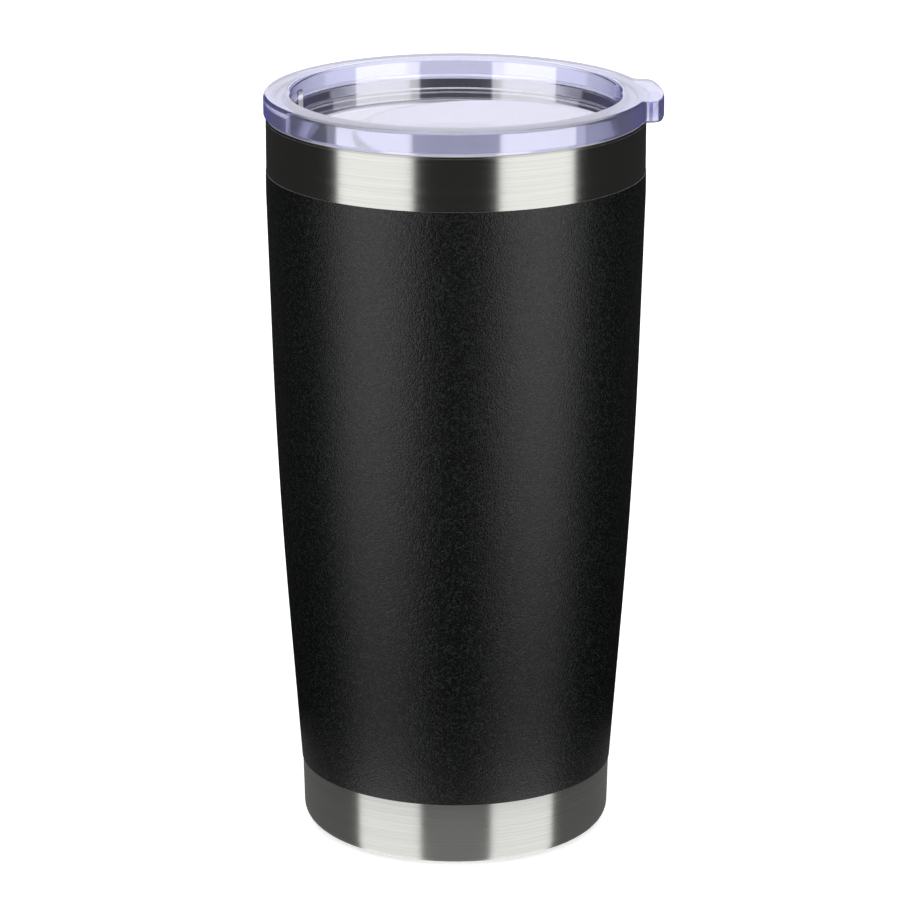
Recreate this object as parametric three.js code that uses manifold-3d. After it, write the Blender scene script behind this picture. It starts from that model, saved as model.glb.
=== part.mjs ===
// Double-wall vacuum tumbler with a clear press-in lid.
// Millimetres, +Z up. The origin is on the tumbler's axis, on the plane that it stands on.
// The lid's pull tab points along +X, and its sip opening lies opposite, towards -X.

import * as THREE from 'three';
import { mergeVertices } from 'three/addons/utils/BufferGeometryUtils.js';
import Module from 'manifold-3d';

const wasm = await Module();
wasm.setup();

// ---------------------------------------------------------------- driving dimensions

// Cup outline
const cupHeight = 169.5;         // standing plane to the top of the steel lip
const neckRadius = 43.4;         // bare steel neck band, outside
const neckBand = 12.5;           // bare steel between the lip and the powder coat
const baseBand = 15.2;           // bare steel between the standing plane and the powder coat
const shoulderDrop = 17.5;       // the wall is upright from the lip down to this depth
const upperTaper = 1.66;         // degrees from upright, shoulder to bend
const bendHeight = 83;
const bendBlend = 32;            // the bend is spread this far above and below its height
const coatThickness = 0.15;
const coatStep = 0.1;            // how far the coat stands proud of the bare neck band
const baseRadius = 36.5;         // powder coat at its lower edge; the lower wall tapers to it
const baseDraft = 1.5;           // degrees from upright, bare base band
const baseCorner = 3.5;          // radius of the rounded bottom corner
const standingRingWidth = 2;     // flat ring that the cup stands on

// Sheet metal
const shellWall = 0.6;
const linerWall = 0.5;
const vacuumGap = 3.2;
const lipWidth = 1.4;            // from the inside of the mouth to the neck band's outside
const mouthDepth = 15;           // straight part of the mouth below the lip
const mouthBlend = 11;           // height over which the mouth narrows to the liner
const lipThickness = 0.6;
const innerFloor = 10.5;         // height of the drinking floor
const innerCorner = 7;
const linerSeam = 19;            // height of the weld between liner and inner bottom
const baseRecess = 0.8;          // height of the base cover's face above the standing ring
const coverThickness = 0.6;
const capThickness = 0.6;
const dimpleRadius = 6;
const dimpleDepth = 2.2;
const ventRadius = 1;            // evacuation hole, closed by the seal bead
const beadRadius = 3.4;
const beadHeight = 1.2;

// Radiation foil and getter
const foilThickness = 0.2;
const foilMargin = 7;            // bare liner between the seam and the foil
const foilTopMargin = 3.5;       // bare liner between the foil and the mouth's blend
const pelletRadius = 4.5;
const pelletHeight = 2.2;
const holderWall = 0.4;
const holderFlange = 2.2;

// Lid
const rimHeight = 5.5;           // thickness of the rim above the steel lip
const rimOverhang = 0.5;         // how far the rim stands out beyond the neck band
const rimFillet = 1;
const rimBevel = 0.7;
const wellWall = 1.8;            // between the gasket groove and the well
const wellFillet = 1.2;
const wellDraft = 1.5;           // degrees
const wellDepth = 10.7;          // rim top to the sump
const sumpFillet = 1.2;
const lidFloor = 1.9;            // floor thickness under the sump
const skirtClearance = 0.8;      // between the skirt and the mouth
const skirtFoot = 2.5;           // skirt below the gasket groove
const skirtChamfer = 1.2;
const skirtWall = 1;             // how far the skirt's foot reaches in under the floor's edge
const grooveDepth = 1.6;
const grooveDrop = 2.2;          // steel lip to the top of the gasket groove
const grooveHeight = 3.4;
const platformInset = 4.8;       // the raised floor's radius is this much less than the well's
const sumpWidth = 13.8;          // widest part of the crescent between platform and well
const platformRise = 1.6;
const platformDish = 0.6;
const platformFillet = 0.8;
const sipEdge = 3.1;             // between the well's wall and the sip opening
const sipWidth = 6.5;            // the sip opening is a slot that follows the well's wall
const sipHalfAngle = 17;         // degrees either side of -X, to the slot's end centres
const sipPocketDepth = 0.9;      // the well's wall is set back behind the sip opening
const sipPocketHalfAngle = 25;
const sipPocketTop = 1.8;        // rim top to the top of the set-back
const airHoleRadius = 1.5;
const airHoleEdge = 9.8;         // between the well's wall and the air hole's axis
const tabReach = 3.5;            // beyond the rim
const tabWidth = 25;
const tabCorner = 3;
const tabBlend = 1.5;            // concave blend between tab and rim
const tabDrop = 0.1;             // the tab is this much thinner than the rim, top and bottom

// Gasket
const gasketRibs = 2;
const ribHeight = 0.9;

// Named clearances
const bondGap = 0.05;            // between layers that are bonded or welded together
const seatGap = 0.05;            // between the lid's rim and the steel lip
const fitGap = 0.15;             // between the gasket and what it touches
const weldGap = 0.2;             // between the base parts and the shell

const segments = 48;             // round a full turn
const smallSegments = 24;

// ---------------------------------------------------------------- helpers

const tanDeg = (degrees) => Math.tan(THREE.MathUtils.degToRad(degrees));

// Places that several pieces share
const coatTop = cupHeight - neckBand;
const shoulderHeight = cupHeight - shoulderDrop;
const mouthRadius = neckRadius - lipWidth;
const mouthFoot = cupHeight - mouthDepth - mouthBlend;
const rimTop = cupHeight + rimHeight;
const rimRadius = neckRadius + rimOverhang;
const skirtRadius = mouthRadius - skirtClearance;
const grooveRadius = skirtRadius - grooveDepth;
const grooveTop = cupHeight - grooveDrop;
const grooveBottom = grooveTop - grooveHeight;
const skirtBottom = grooveBottom - skirtFoot;
const wellRadius = grooveRadius - wellWall;
const sumpHeight = rimTop - wellDepth;
const floorUnder = sumpHeight - lidFloor;

// Points on an arc about (r, z); angles in degrees, 0 pointing outwards and 90 upwards.
function arc(r, z, radius, from, to, steps = 4) {
  const points = [];
  for (let i = 0; i <= steps; i += 1) {
    const angle = THREE.MathUtils.degToRad(from + ((to - from) * i) / steps);
    points.push([r + radius * Math.cos(angle), z + radius * Math.sin(angle)]);
  }
  return points;
}

function signedArea(points) {
  let area = 0;
  points.forEach(([r, z], i) => {
    const [nextR, nextZ] = points[(i + 1) % points.length];
    area += (r * nextZ - nextR * z) / 2;
  });
  return area;
}

// Turns a closed outline of [radius, height] points about the Z axis.
// An outline whose first and last points are both on the axis closes along the axis.
function revolve(outline, around = segments) {
  const points = signedArea(outline) > 0 ? [...outline] : [...outline].reverse();
  const onAxis = points.findIndex(([r]) => r === 0);
  if (onAxis < 0) {
    points.push(points[0]);
  } else {
    while (points[0][0] !== 0 || points[points.length - 1][0] !== 0) {
      points.push(points.shift());
    }
  }
  const profile = points.map(([r, z]) => new THREE.Vector2(r, z));
  const geometry = new THREE.LatheGeometry(profile, around);
  geometry.rotateX(Math.PI / 2);
  return geometry;
}

// A closed solid for joining and cutting, made from a geometry.
function toSolid(geometry) {
  const bare = new THREE.BufferGeometry();
  bare.setAttribute('position', geometry.getAttribute('position'));
  if (geometry.index) {
    bare.setIndex(geometry.index);
  }
  const welded = mergeVertices(bare, 1e-4);
  const triangles = [];
  const index = welded.index.array;
  for (let i = 0; i < index.length; i += 3) {
    const [a, b, c] = [index[i], index[i + 1], index[i + 2]];
    if (a !== b && b !== c && c !== a) {
      triangles.push(a, b, c);
    }
  }
  const mesh = new wasm.Mesh({
    numProp: 3,
    vertProperties: new Float32Array(welded.getAttribute('position').array),
    triVerts: new Uint32Array(triangles),
  });
  return new wasm.Manifold(mesh);
}

function toGeometry(solid) {
  const mesh = solid.getMesh();
  const geometry = new THREE.BufferGeometry();
  geometry.setAttribute('position', new THREE.BufferAttribute(mesh.vertProperties, 3));
  geometry.setIndex(new THREE.BufferAttribute(mesh.triVerts, 1));
  return geometry;
}

// A flat shape pushed up from one height to another.
function extrudeUp(shape, bottom, top, curveSegments = 8) {
  const settings = { depth: top - bottom, bevelEnabled: false, curveSegments };
  const geometry = new THREE.ExtrudeGeometry(shape, settings);
  geometry.translate(0, 0, bottom);
  return geometry;
}

// A ring sector between two radii about -X, with square ends.
function sectorShape(inner, outer, halfAngle) {
  const half = THREE.MathUtils.degToRad(halfAngle);
  const shape = new THREE.Shape();
  shape.absarc(0, 0, outer, Math.PI - half, Math.PI + half, false);
  shape.absarc(0, 0, inner, Math.PI + half, Math.PI - half, true);
  return shape;
}

// ---------------------------------------------------------------- outline of the cup

// Outer surface of the powder coat at a height.
function coatRadius(z) {
  const top = neckRadius + coatStep;
  if (z >= shoulderHeight) {
    return top;
  }
  const slope = tanDeg(upperTaper);
  const upper = top - slope * (shoulderHeight - z);
  const bend = top - slope * (shoulderHeight - bendHeight);
  const change = (bend - baseRadius) / (bendHeight - baseBand) - slope;
  if (z >= bendHeight + bendBlend) {
    return upper;
  }
  if (z <= bendHeight - bendBlend) {
    return upper - change * (bendHeight - z);
  }
  return upper - (change * (bendHeight + bendBlend - z) ** 2) / (4 * bendBlend);
}

// Outer surface of the steel shell under the powder coat.
const shellRadius = (z) => coatRadius(z) - coatThickness - bondGap;

// The base band just above the bottom corner, and the inner edge of the standing ring.
const footRadius = shellRadius(baseBand) - tanDeg(baseDraft) * (baseBand - baseCorner);
const ringInner = footRadius - baseCorner - standingRingWidth;

// Outer surface of the liner at a height below the mouth's blend.
const linerRadius = (z) => shellRadius(z) - shellWall - vacuumGap;

// Heights at which every layer of the wall has its rings, so that the layers stay parallel.
function wallHeights(bottom, top) {
  const bends = [bendHeight - bendBlend, bendHeight, bendHeight + bendBlend];
  const inside = [...bends, shoulderHeight].filter((z) => z > bottom && z < top);
  return [bottom, ...inside, top];
}

// ---------------------------------------------------------------- the cup's pieces

function outerShell() {
  const top = cupHeight - lipThickness - bondGap;
  const outside = [
    ...arc(footRadius - baseCorner, baseCorner, baseCorner, -90, 0, 5),
    ...wallHeights(baseBand, coatTop).map((z) => [shellRadius(z), z]),
    [shellRadius(coatTop), coatTop + bondGap],
    [neckRadius, coatTop + bondGap],
    [neckRadius, top],
  ];
  const hemTop = baseRecess + coverThickness + capThickness;
  const inside = [
    [neckRadius - shellWall, top],
    ...wallHeights(baseBand, coatTop).reverse().map((z) => [shellRadius(z) - shellWall, z]),
    ...arc(footRadius - baseCorner, baseCorner, baseCorner - shellWall, 0, -90, 5),
    [ringInner + shellWall, shellWall],
    [ringInner + shellWall, hemTop],
    [ringInner, hemTop],
    [ringInner, 0],
  ];
  return revolve([...outside, ...inside]);
}

function powderCoat() {
  const heights = wallHeights(baseBand, coatTop);
  const outside = heights.map((z) => [coatRadius(z), z]);
  const inside = heights.map((z) => [coatRadius(z) - coatThickness, z]).reverse();
  return revolve([...outside, ...inside]);
}

// The liner's inner surface, from its seam up to the mouth.
function linerInside() {
  const lower = wallHeights(linerSeam, mouthFoot).map((z) => [linerRadius(z) - linerWall, z]);
  const start = linerRadius(mouthFoot) - linerWall;
  const blend = [];
  for (let i = 1; i <= 6; i += 1) {
    const share = i / 6;
    const ease = share * share * (3 - 2 * share);
    blend.push([start + (mouthRadius - start) * ease, mouthFoot + mouthBlend * share]);
  }
  return [...lower, ...blend];
}

function innerLiner() {
  const inside = linerInside();
  const outside = inside.map(([r, z]) => [r + linerWall, z]);
  const lipUnder = cupHeight - lipThickness;
  const rounding = lipThickness / 2;
  const lip = [
    [mouthRadius + linerWall, lipUnder],
    ...arc(neckRadius - rounding, lipUnder + rounding, rounding, -90, 90, 4),
    ...arc(mouthRadius + rounding, cupHeight - rounding, rounding, 90, 180, 2),
  ];
  return revolve([...outside, ...lip, ...inside.reverse()]);
}

function innerBottom() {
  const seam = linerSeam - bondGap;
  const outer = linerRadius(linerSeam);
  const under = innerFloor - linerWall;
  const centre = outer - innerCorner;
  const outside = arc(centre, under + innerCorner, innerCorner, -90, 0, 5);
  const inside = arc(centre, under + innerCorner, innerCorner - linerWall, 0, -90, 5);
  return revolve([[0, under], ...outside, [outer, seam], [outer - linerWall, seam], ...inside,
    [0, innerFloor]]);
}

function radiationFoil() {
  const heights = wallHeights(linerSeam + foilMargin, mouthFoot - foilTopMargin);
  const inner = heights.map((z) => [linerRadius(z) + bondGap, z]);
  const outer = heights.map((z) => [linerRadius(z) + bondGap + foilThickness, z]).reverse();
  return revolve([...inner, ...outer]);
}

// The top of the getter holder touches the underside of the inner bottom.
const holderTop = innerFloor - linerWall - bondGap;

function getterHolder() {
  const inner = pelletRadius + fitGap;
  const skirt = holderTop - holderWall - pelletHeight;
  return revolve([[0, holderTop], [inner + holderFlange, holderTop],
    [inner + holderFlange, holderTop - holderWall], [inner + holderWall, holderTop - holderWall],
    [inner + holderWall, skirt], [inner, skirt], [inner, holderTop - holderWall],
    [0, holderTop - holderWall]], smallSegments);
}

function getterPellet() {
  const top = holderTop - holderWall - bondGap;
  return revolve([[0, top], [pelletRadius, top], [pelletRadius, top - pelletHeight],
    [0, top - pelletHeight]], smallSegments);
}

const capRadius = ringInner - weldGap;
const capBottom = baseRecess + coverThickness + bondGap;

function baseCap() {
  const top = capBottom + capThickness;
  const roof = capBottom + dimpleDepth;
  return revolve([[capRadius, capBottom], [capRadius, top],
    [dimpleRadius + capThickness, top], [dimpleRadius, roof + capThickness],
    [ventRadius, roof + capThickness], [ventRadius, roof],
    [dimpleRadius - capThickness, roof], [dimpleRadius, capBottom]]);
}

// Glass solder that closes the evacuation hole, inside the base cap's dimple.
function sealBead() {
  const top = capBottom + dimpleDepth - bondGap;
  const dome = [0, 1, 2, 3, 4].map((i) => {
    const angle = (Math.PI / 2) * (i / 4);
    return [beadRadius * Math.sin(angle), top - beadHeight * Math.cos(angle)];
  });
  return revolve([...dome, [0, top]], smallSegments);
}

function baseCover() {
  const edge = 0.3;
  return revolve([[0, baseRecess], [capRadius - edge, baseRecess],
    [capRadius, baseRecess + edge], [capRadius, baseRecess + coverThickness],
    [0, baseRecess + coverThickness]]);
}

// ---------------------------------------------------------------- the lid

// Rim, well, skirt and floor, without the tab and the openings.
function lidShell() {
  const seat = cupHeight + seatGap;
  const wellLow = wellRadius - tanDeg(wellDraft) * (wellDepth - wellFillet - sumpFillet);
  const outline = [
    [0, floorUnder],
    [wellLow - skirtWall, floorUnder],
    [wellLow - skirtWall, skirtBottom],
    [skirtRadius - skirtChamfer, skirtBottom],
    [skirtRadius, skirtBottom + skirtChamfer],
    [skirtRadius, grooveBottom],
    [grooveRadius, grooveBottom],
    [grooveRadius, grooveTop],
    [skirtRadius, grooveTop],
    [skirtRadius, seat],
    [rimRadius - rimBevel, seat],
    [rimRadius, seat + rimBevel],
    ...arc(rimRadius - rimFillet, rimTop - rimFillet, rimFillet, 0, 90, 3),
    ...arc(wellRadius + wellFillet, rimTop - wellFillet, wellFillet, 90, 180, 4),
    ...arc(wellLow - sumpFillet, sumpHeight + sumpFillet, sumpFillet, 0, -90, 3),
    [0, sumpHeight],
  ];
  return toSolid(revolve(outline));
}

// The raised floor: a dished disc that stands off the axis, kept inside the well's wall.
function platform() {
  const top = sumpHeight + platformRise;
  const bottom = sumpHeight - lidFloor / 2;
  const radius = wellRadius - platformInset;
  const flat = radius - platformFillet;
  const dish = [0, 0.35, 0.7].map((share) => [flat * share, top - platformDish * (1 - share ** 2)]);
  const disc = revolve([[0, bottom], [radius, bottom],
    ...arc(flat, top - platformFillet, platformFillet, 0, 90, 3), ...dish.reverse()]);
  disc.translate(sumpWidth - platformInset, 0, 0);
  const limit = revolve([[0, bottom - 1], [wellRadius + 1, bottom - 1],
    [wellRadius + 1, top + 1], [0, top + 1]]);
  return toSolid(disc).intersect(toSolid(limit));
}

// The pull tab across +X: its outer edge runs parallel to the rim, between rounded corners,
// and concave blends join its sides to the rim.
function tab() {
  const tip = rimRadius + tabReach;
  const half = tabWidth / 2;
  const cornerX = Math.sqrt((tip - tabCorner) ** 2 - (half - tabCorner) ** 2);
  const cornerTurn = Math.atan2(half - tabCorner, cornerX);
  const root = Math.sqrt(rimRadius ** 2 - (half + tabBlend) ** 2) - 1;
  const edge = Math.sqrt((rimRadius + tabBlend) ** 2 - (half + tabBlend) ** 2);
  const turn = Math.atan2(half + tabBlend, edge);
  const shape = new THREE.Shape();
  shape.moveTo(root, -half - tabBlend / 2);
  shape.absarc(edge, -half - tabBlend, tabBlend, Math.PI - turn, Math.PI / 2, true);
  shape.absarc(cornerX, -half + tabCorner, tabCorner, -Math.PI / 2, -cornerTurn, false);
  shape.absarc(0, 0, tip, -cornerTurn, cornerTurn, false);
  shape.absarc(cornerX, half - tabCorner, tabCorner, cornerTurn, Math.PI / 2, false);
  shape.absarc(edge, half + tabBlend, tabBlend, -Math.PI / 2, turn - Math.PI, true);
  shape.lineTo(root, half + tabBlend / 2);
  return toSolid(extrudeUp(shape, cupHeight + seatGap + tabDrop, rimTop - tabDrop, 4));
}

// A slot that follows the well's wall, with rounded ends.
function sipOpening() {
  const low = floorUnder - 1;
  const high = sumpHeight + 1;
  const half = sipWidth / 2;
  const middle = wellRadius - sipEdge - half;
  let slot = toSolid(extrudeUp(sectorShape(middle - half, middle + half, sipHalfAngle), low, high));
  for (const side of [-1, 1]) {
    const angle = Math.PI + side * THREE.MathUtils.degToRad(sipHalfAngle);
    const end = revolve([[0, low], [half, low], [half, high], [0, high]], smallSegments);
    end.translate(middle * Math.cos(angle), middle * Math.sin(angle), 0);
    slot = slot.add(toSolid(end));
  }
  return slot;
}

// The set-back in the well's wall behind the sip opening.
function sipPocket() {
  const wall = wellRadius - tanDeg(wellDraft) * wellDepth;
  const shape = sectorShape(wall - 2, wellRadius + sipPocketDepth, sipPocketHalfAngle);
  return toSolid(extrudeUp(shape, sumpHeight, rimTop - sipPocketTop));
}

function airHole() {
  const low = floorUnder - 1;
  const high = sumpHeight + platformRise + 1;
  const hole = revolve([[0, low], [airHoleRadius, low], [airHoleRadius, high], [0, high]],
    smallSegments);
  hole.translate(wellRadius - airHoleEdge, 0, 0);
  return toSolid(hole);
}

function lidBody() {
  const full = lidShell().add(platform()).add(tab());
  return toGeometry(full.subtract(sipPocket()).subtract(sipOpening()).subtract(airHole()));
}

// A silicone ring with sealing ribs that press on the mouth's wall.
function lidGasket() {
  const top = grooveTop - fitGap;
  const bottom = grooveBottom + fitGap;
  const inner = grooveRadius + fitGap;
  const body = skirtRadius - fitGap;
  const tip = mouthRadius - fitGap;
  const pitch = (top - bottom) / gasketRibs;
  const outline = [[inner, bottom]];
  for (let i = 0; i < gasketRibs; i += 1) {
    const centre = bottom + pitch * (i + 0.5);
    outline.push([body, centre - ribHeight / 2], [tip, centre - ribHeight / 6]);
    outline.push([tip, centre + ribHeight / 6], [body, centre + ribHeight / 2]);
  }
  outline.push([inner, top]);
  return revolve(outline);
}

// ---------------------------------------------------------------- the assembly

const finishes = {
  steel: { color: 0xb9b8b2, roughness: 0.28, metalness: 1 },
  innerSteel: { color: 0xc4c4c1, roughness: 0.35, metalness: 1 },
  coat: { color: 0x17191a, roughness: 0.55, metalness: 0 },
  foil: { color: 0xd2d3d4, roughness: 0.2, metalness: 1 },
  pellet: { color: 0x5c5c5e, roughness: 0.8, metalness: 0.4 },
  glass: { color: 0x6f6a58, roughness: 0.2, metalness: 0 },
  clearPlastic: { color: 0xdfe0f2, roughness: 0.05, metalness: 0 },
  silicone: { color: 0xe6e6ea, roughness: 0.5, metalness: 0 },
};

const tumbler = new THREE.Group();
tumbler.name = 'tumbler';

function place(name, geometry, finish) {
  const mesh = new THREE.Mesh(geometry, new THREE.MeshStandardMaterial(finishes[finish]));
  mesh.name = name;
  tumbler.add(mesh);
}

place('outer_shell', outerShell(), 'steel');
place('powder_coat', powderCoat(), 'coat');
place('inner_liner', innerLiner(), 'innerSteel');
place('inner_bottom', innerBottom(), 'innerSteel');
place('radiation_foil', radiationFoil(), 'foil');
place('getter_holder', getterHolder(), 'steel');
place('getter_pellet', getterPellet(), 'pellet');
place('base_cap', baseCap(), 'steel');
place('seal_bead', sealBead(), 'glass');
place('base_cover', baseCover(), 'steel');
place('lid_body', lidBody(), 'clearPlastic');
place('lid_gasket', lidGasket(), 'silicone');

export default tumbler;
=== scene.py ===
"""Gives an insulated tumbler with a press-in lid its finished surfaces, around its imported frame."""

import math

import bmesh
import bpy
from bpy.props import FloatProperty, FloatVectorProperty, IntProperty, PointerProperty
from mathutils import Matrix, Vector


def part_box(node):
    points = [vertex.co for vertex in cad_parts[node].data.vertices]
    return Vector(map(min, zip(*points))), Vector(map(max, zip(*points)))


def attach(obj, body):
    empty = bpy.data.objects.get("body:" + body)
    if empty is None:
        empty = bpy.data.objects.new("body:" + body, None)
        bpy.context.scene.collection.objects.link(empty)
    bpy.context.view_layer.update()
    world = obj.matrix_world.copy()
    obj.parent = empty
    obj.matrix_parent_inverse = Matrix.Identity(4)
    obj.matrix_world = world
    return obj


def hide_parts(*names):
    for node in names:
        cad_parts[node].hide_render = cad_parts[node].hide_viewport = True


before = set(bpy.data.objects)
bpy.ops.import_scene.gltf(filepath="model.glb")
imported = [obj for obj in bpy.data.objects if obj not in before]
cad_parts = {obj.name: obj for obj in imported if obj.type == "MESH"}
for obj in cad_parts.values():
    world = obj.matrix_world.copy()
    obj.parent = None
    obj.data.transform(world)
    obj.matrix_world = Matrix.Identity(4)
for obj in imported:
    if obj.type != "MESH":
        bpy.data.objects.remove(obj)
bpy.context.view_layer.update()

bl_info = {
    "name": "Insulated Tumbler",
    "version": (1, 0, 0),
    "blender": (4, 5, 0),
    "location": "View3D > Sidebar > Tumbler",
    "description": "Builds a vacuum tumbler with a clear press-in lid around its frame",
    "category": "Object",
}

MM = 0.001
FINE = 256  # facets round a turned piece
ON_AXIS = 1e-9  # a point nearer the axis than this is on it
SHARP = math.radians(32)  # edges sharper than this are kept
SPARE = 1 * MM  # cutters and limits reach this far past what they cut
QUARTER = [math.pi / 2 * i / 6 for i in range(7)]  # steps round a rounded edge
NOISE_LOW, NOISE_HIGH = 0.3, 0.7  # nearly all of a noise pattern lies between these
LEVEL = (1, 1, 0)  # keeps the level part of a direction
WHITE = (1, 1, 1, 1)
ALL_ROUND = 2 * math.pi  # further than any angle in the studio
FLOOR_REACH = 2500 * MM
FLOOR_DROP = 0.2 * MM  # the floor is just below the standing ring


def linear(hex_colour):
    """Scene-linear red, green and blue of an sRGB hex colour."""
    channels = [int(hex_colour[i:i + 2], 16) / 255 for i in (1, 3, 5)]
    return tuple(c / 12.92 if c <= 0.04045 else ((c + 0.055) / 1.055) ** 2.4 for c in channels)


# ---- sizes, finishes and studio


def length(name, description, default):
    return FloatProperty(name=name, description=description, default=default, unit="LENGTH",
                         precision=5)


def angle(name, description, degrees):
    return FloatProperty(name=name, description=description, default=math.radians(degrees),
                         subtype="ANGLE")


def colour(name, description, hex_colour):
    return FloatVectorProperty(name=name, description=description, default=linear(hex_colour),
                               subtype="COLOR", min=0, max=1)


def share_of(name, description, default):
    return FloatProperty(name=name, description=description, default=default, min=0, max=1,
                         subtype="FACTOR")


def radiance(name, default):
    return FloatProperty(name=name, description="Radiance", default=default, min=0)


class CupSizes(bpy.types.PropertyGroup):
    """Sizes of the steel cup; its heights and outer radii come from the frame."""

    cup_height: length("Cup Height", "Top of the steel lip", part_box("inner_liner")[1].z)
    neck_radius: length("Neck Radius", "Outside of the neck band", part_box("outer_shell")[1].x)
    coat_radius: length("Coat Radius", "Outside of the coat's top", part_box("powder_coat")[1].x)
    coat_top: length("Coat Top", "Upper edge of the powder coat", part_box("powder_coat")[1].z)
    coat_bottom: length("Coat Bottom", "Lower edge of the coat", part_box("powder_coat")[0].z)
    seam_height: length("Liner Seam", "Liner to inner bottom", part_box("inner_liner")[0].z)
    floor_under: length("Inner Bottom", "Underside of it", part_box("inner_bottom")[0].z)
    shoulder_drop: length("Shoulder Drop", "The wall is upright down to this depth", 17.5 * MM)
    upper_taper: angle("Upper Taper", "Lean of the wall from shoulder to bend", 1.66)
    bend_height: length("Bend Height", "Where the wall turns to its steeper taper", 83 * MM)
    bend_blend: length("Bend Blend", "The bend is spread this far up and down", 32 * MM)
    base_radius: length("Base Radius", "Outside of the powder coat at its bottom", 36.5 * MM)
    base_draft: angle("Base Draft", "Lean of the bare base band", 1.5)
    base_corner: length("Base Corner", "Radius of the rounded bottom corner", 3.5 * MM)
    ring_width: length("Standing Ring", "Width of the flat ring that it stands on", 2 * MM)
    coat_thickness: length("Coat Thickness", "Powder coat", 0.15 * MM)
    shell_wall: length("Shell Wall", "Outer steel sheet", 0.6 * MM)
    liner_wall: length("Liner Wall", "Inner steel sheet", 0.5 * MM)
    vacuum_gap: length("Vacuum Gap", "Between the two steel sheets", 3.2 * MM)
    lip_width: length("Lip Width", "Across the top of the steel lip", 1.4 * MM)
    mouth_depth: length("Mouth Depth", "Straight part of the mouth", 15 * MM)
    mouth_blend: length("Mouth Blend", "Height over which the mouth narrows", 11 * MM)
    inner_corner: length("Inner Corner", "Radius between wall and drinking floor", 7 * MM)
    bond_gap: length("Bond Gap", "Between layers that are bonded", 0.05 * MM)


class LidSizes(bpy.types.PropertyGroup):
    """Sizes of the press-in lid; its heights and outer radii come from the frame."""

    rim_top: length("Rim Top", "Top of the lid's rim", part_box("lid_body")[1].z)
    rim_radius: length("Rim Radius", "Outside of the lid's rim", -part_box("lid_body")[0].x)
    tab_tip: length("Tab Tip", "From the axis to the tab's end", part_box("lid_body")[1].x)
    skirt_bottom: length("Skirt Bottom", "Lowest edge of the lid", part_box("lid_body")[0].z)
    seat_gap: length("Seat Gap", "Between the rim and the steel lip", 0.05 * MM)
    rim_fillet: length("Rim Fillet", "Top outer edge of the rim", 1 * MM)
    rim_bevel: length("Rim Bevel", "Bottom outer edge of the rim", 0.7 * MM)
    well_fillet: length("Well Fillet", "Top inner edge of the rim", 1.2 * MM)
    well_draft: angle("Well Draft", "Lean of the well's wall", 1.5)
    well_depth: length("Well Depth", "Rim top to the sump", 10.7 * MM)
    sump_fillet: length("Sump Fillet", "Between the well's wall and the sump", 1.2 * MM)
    lid_floor: length("Floor Thickness", "Floor under the sump", 1.9 * MM)
    skirt_clearance: length("Skirt Clearance", "Between the skirt and the mouth", 0.8 * MM)
    skirt_chamfer: length("Skirt Chamfer", "Lead-in at the skirt's foot", 1.2 * MM)
    skirt_wall: length("Skirt Wall", "The foot reaches in under the floor's edge", 1 * MM)
    groove_depth: length("Groove Depth", "Gasket groove", 1.6 * MM)
    groove_drop: length("Groove Drop", "Steel lip to the top of the groove", 2.2 * MM)
    groove_height: length("Groove Height", "Gasket groove", 3.4 * MM)
    well_wall: length("Well Wall", "Between the groove and the well", 1.8 * MM)
    platform_inset: length("Platform Inset", "Raised floor's radius below the well's", 4.8 * MM)
    sump_width: length("Sump Width", "Widest part of the crescent", 13.8 * MM)
    platform_rise: length("Platform Rise", "Raised floor above the sump", 1.6 * MM)
    platform_dish: length("Platform Dish", "Depth of the dish in the raised floor", 0.6 * MM)
    platform_fillet: length("Platform Fillet", "Edge of the raised floor", 0.8 * MM)
    sip_edge: length("Sip Edge", "Between the well's wall and the sip opening", 3.1 * MM)
    sip_width: length("Sip Width", "Across the sip opening", 6.5 * MM)
    sip_half_angle: angle("Sip Half Angle", "Middle of the slot to its end centres", 17)
    pocket_depth: length("Pocket Depth", "Set-back in the wall at the sip opening", 0.9 * MM)
    pocket_half_angle: angle("Pocket Half Angle", "Half of the set-back's span", 25)
    pocket_ramp: angle("Pocket Ramp", "The set-back's ends fade over this", 3.2)
    pocket_top: length("Pocket Top", "Rim top to the top of the set-back", 1.8 * MM)
    air_hole_radius: length("Air Hole Radius", "Small hole that lets air in", 1.5 * MM)
    air_hole_edge: length("Air Hole Edge", "Between the well's wall and the hole", 9.8 * MM)
    tab_width: length("Tab Width", "Across the pull tab", 25 * MM)
    tab_corner: length("Tab Corner", "Outer corners of the tab, from above", 3 * MM)
    tab_blend: length("Tab Blend", "Hollow between tab and rim, from above", 1.5 * MM)
    tab_drop: length("Tab Drop", "The tab is thinner than the rim by this, each side", 0.1 * MM)
    tab_edge: length("Tab Edge", "Rounding of the tab's top and bottom edges", 0.7 * MM)
    edge_break: length("Edge Break", "Rounding of the openings' edges", 0.3 * MM)
    fit_gap: length("Fit Gap", "Between the gasket and what it touches", 0.15 * MM)
    gasket_ribs: IntProperty(name="Gasket Ribs", description="Sealing ribs", default=2, min=1)
    rib_height: length("Rib Height", "Each sealing rib", 0.9 * MM)


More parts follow.
